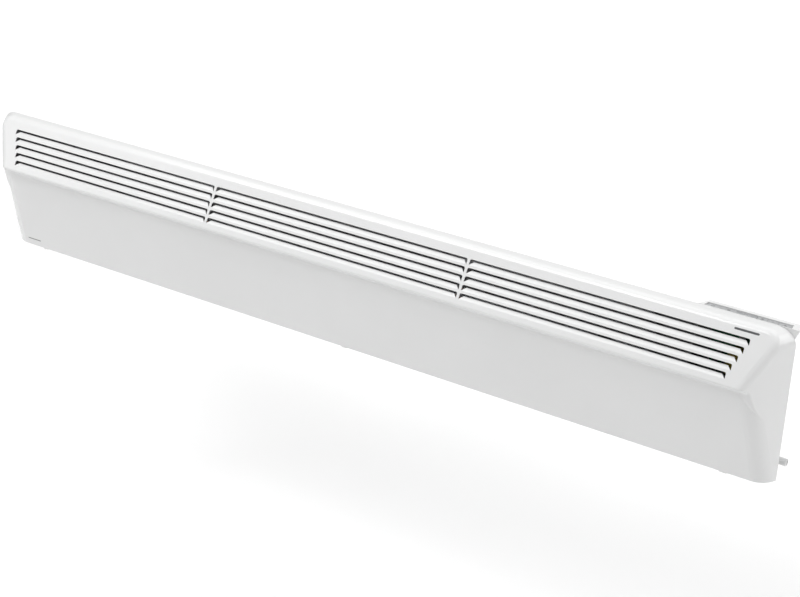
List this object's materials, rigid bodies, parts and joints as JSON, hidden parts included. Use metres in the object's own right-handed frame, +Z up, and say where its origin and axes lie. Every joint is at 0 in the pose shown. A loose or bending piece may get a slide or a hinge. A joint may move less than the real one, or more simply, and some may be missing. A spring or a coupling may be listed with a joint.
{
  "type": "baseboard heater",
  "caption": "Long low electric convector heater: white enamelled cover with leaning slotted outlet over an inclined lower panel, control unit at the top right, hung on wall brackets",
  "frame": {"origin": "middle of the wall fixing holes of the three brackets, on the wall's plane", "axes": "+X along the heater towards the control unit's end, +Y into the wall, +Z up; the room is on the -Y side"},
  "size_m": [1.2615, 0.0885, 0.22],
  "materials": {
    "white_enamel": "smooth glossy white powder enamel",
    "galvanised_steel": "galvanised sheet, satin",
    "bracket_paint": "white powder coat, satin",
    "element_aluminium": "extruded, satin",
    "rod_steel": "stainless tube, heat tinted",
    "ceramic": "white glazed ceramic",
    "shield_aluminium": "bright rolled sheet",
    "copper": "drawn copper, satin",
    "black_plastic": "moulded, satin",
    "sensor_plastic": "epoxy sleeve",
    "clip_plastic": "natural nylon",
    "board_green": "solder mask, satin",
    "relay_blue": "moulded, glossy",
    "transformer_yellow": "varnished bobbin and core",
    "board_part": "moulded components",
    "terminal_plastic": "natural polyamide",
    "terminal_brass": "turned brass",
    "mains_insulation": "PVC insulation",
    "element_insulation": "silicone insulation",
    "white_plastic": "moulded, semi gloss",
    "key_grey": "moulded, satin light grey",
    "display_glass": "smoked window",
    "display_body": "moulded LED module",
    "switch_steel": "pressed steel and black nub",
    "ribbon_grey": "PVC ribbon",
    "zinc_screw": "zinc plated"
  },
  "bodies": {
    "root": {"front_cover": "white_enamel", "rear_tray": "galvanised_steel", "bottom_grille": "galvanised_steel", "wall_bracket_left": "bracket_paint", "wall_bracket_centre": "bracket_paint", "wall_bracket_right": "bracket_paint", "heating_element": "element_aluminium", "heater_rod_lower": "rod_steel", "heater_rod_upper": "rod_steel", "rod_bushes": "ceramic", "element_hanger_left": "galvanised_steel", "element_hanger_right": "galvanised_steel", "element_saddle": "galvanised_steel", "heat_shield": "shield_aluminium", "outlet_deflector": "shield_aluminium", "partition_wall": "galvanised_steel", "overheat_cutout": "black_plastic", "overheat_capillary": "copper", "capillary_clips": "galvanised_steel", "room_sensor": "sensor_plastic", "sensor_clip": "clip_plastic", "power_board": "board_green", "board_standoffs": "terminal_brass", "power_relays": "relay_blue", "power_transformer": "transformer_yellow", "board_parts": "board_part", "terminal_block": "terminal_plastic", "terminal_screws": "terminal_brass", "earth_stud": "terminal_brass", "mains_wires": "mains_insulation", "element_wires": "element_insulation", "cable_gland": "white_plastic", "gland_nut": "white_plastic", "control_tray": "white_plastic", "control_bezel": "white_plastic", "display_lens": "display_glass", "display_module": "display_body", "control_board": "board_green", "key_switches": "switch_steel", "control_cable": "ribbon_grey", "control_screws": "zinc_screw", "cover_screws": "zinc_screw", "tray_screws": "zinc_screw", "shield_screws": "zinc_screw", "partition_screws": "zinc_screw", "board_screws": "zinc_screw"},
    "key_power": {"key_power": "key_grey"},
    "key_mode": {"key_mode": "key_grey"},
    "key_timer": {"key_timer": "key_grey"},
    "key_minus": {"key_minus": "key_grey"},
    "key_plus": {"key_plus": "key_grey"}
  },
  "joints": [
    {"name": "key_power_press", "type": "slide", "parent": "root", "child": "key_power", "axis": [0, 0, -1], "range_m": [0, 0.0005], "stiffness_N_per_m": 600},
    {"name": "key_mode_press", "type": "slide", "parent": "root", "child": "key_mode", "axis": [0, 0, -1], "range_m": [0, 0.0005], "stiffness_N_per_m": 600},
    {"name": "key_timer_press", "type": "slide", "parent": "root", "child": "key_timer", "axis": [0, 0, -1], "range_m": [0, 0.0005], "stiffness_N_per_m": 600},
    {"name": "key_minus_press", "type": "slide", "parent": "root", "child": "key_minus", "axis": [0, 0, -1], "range_m": [0, 0.0005], "stiffness_N_per_m": 600},
    {"name": "key_plus_press", "type": "slide", "parent": "root", "child": "key_plus", "axis": [0, 0, -1], "range_m": [0, 0.0005], "stiffness_N_per_m": 600}
  ]
}
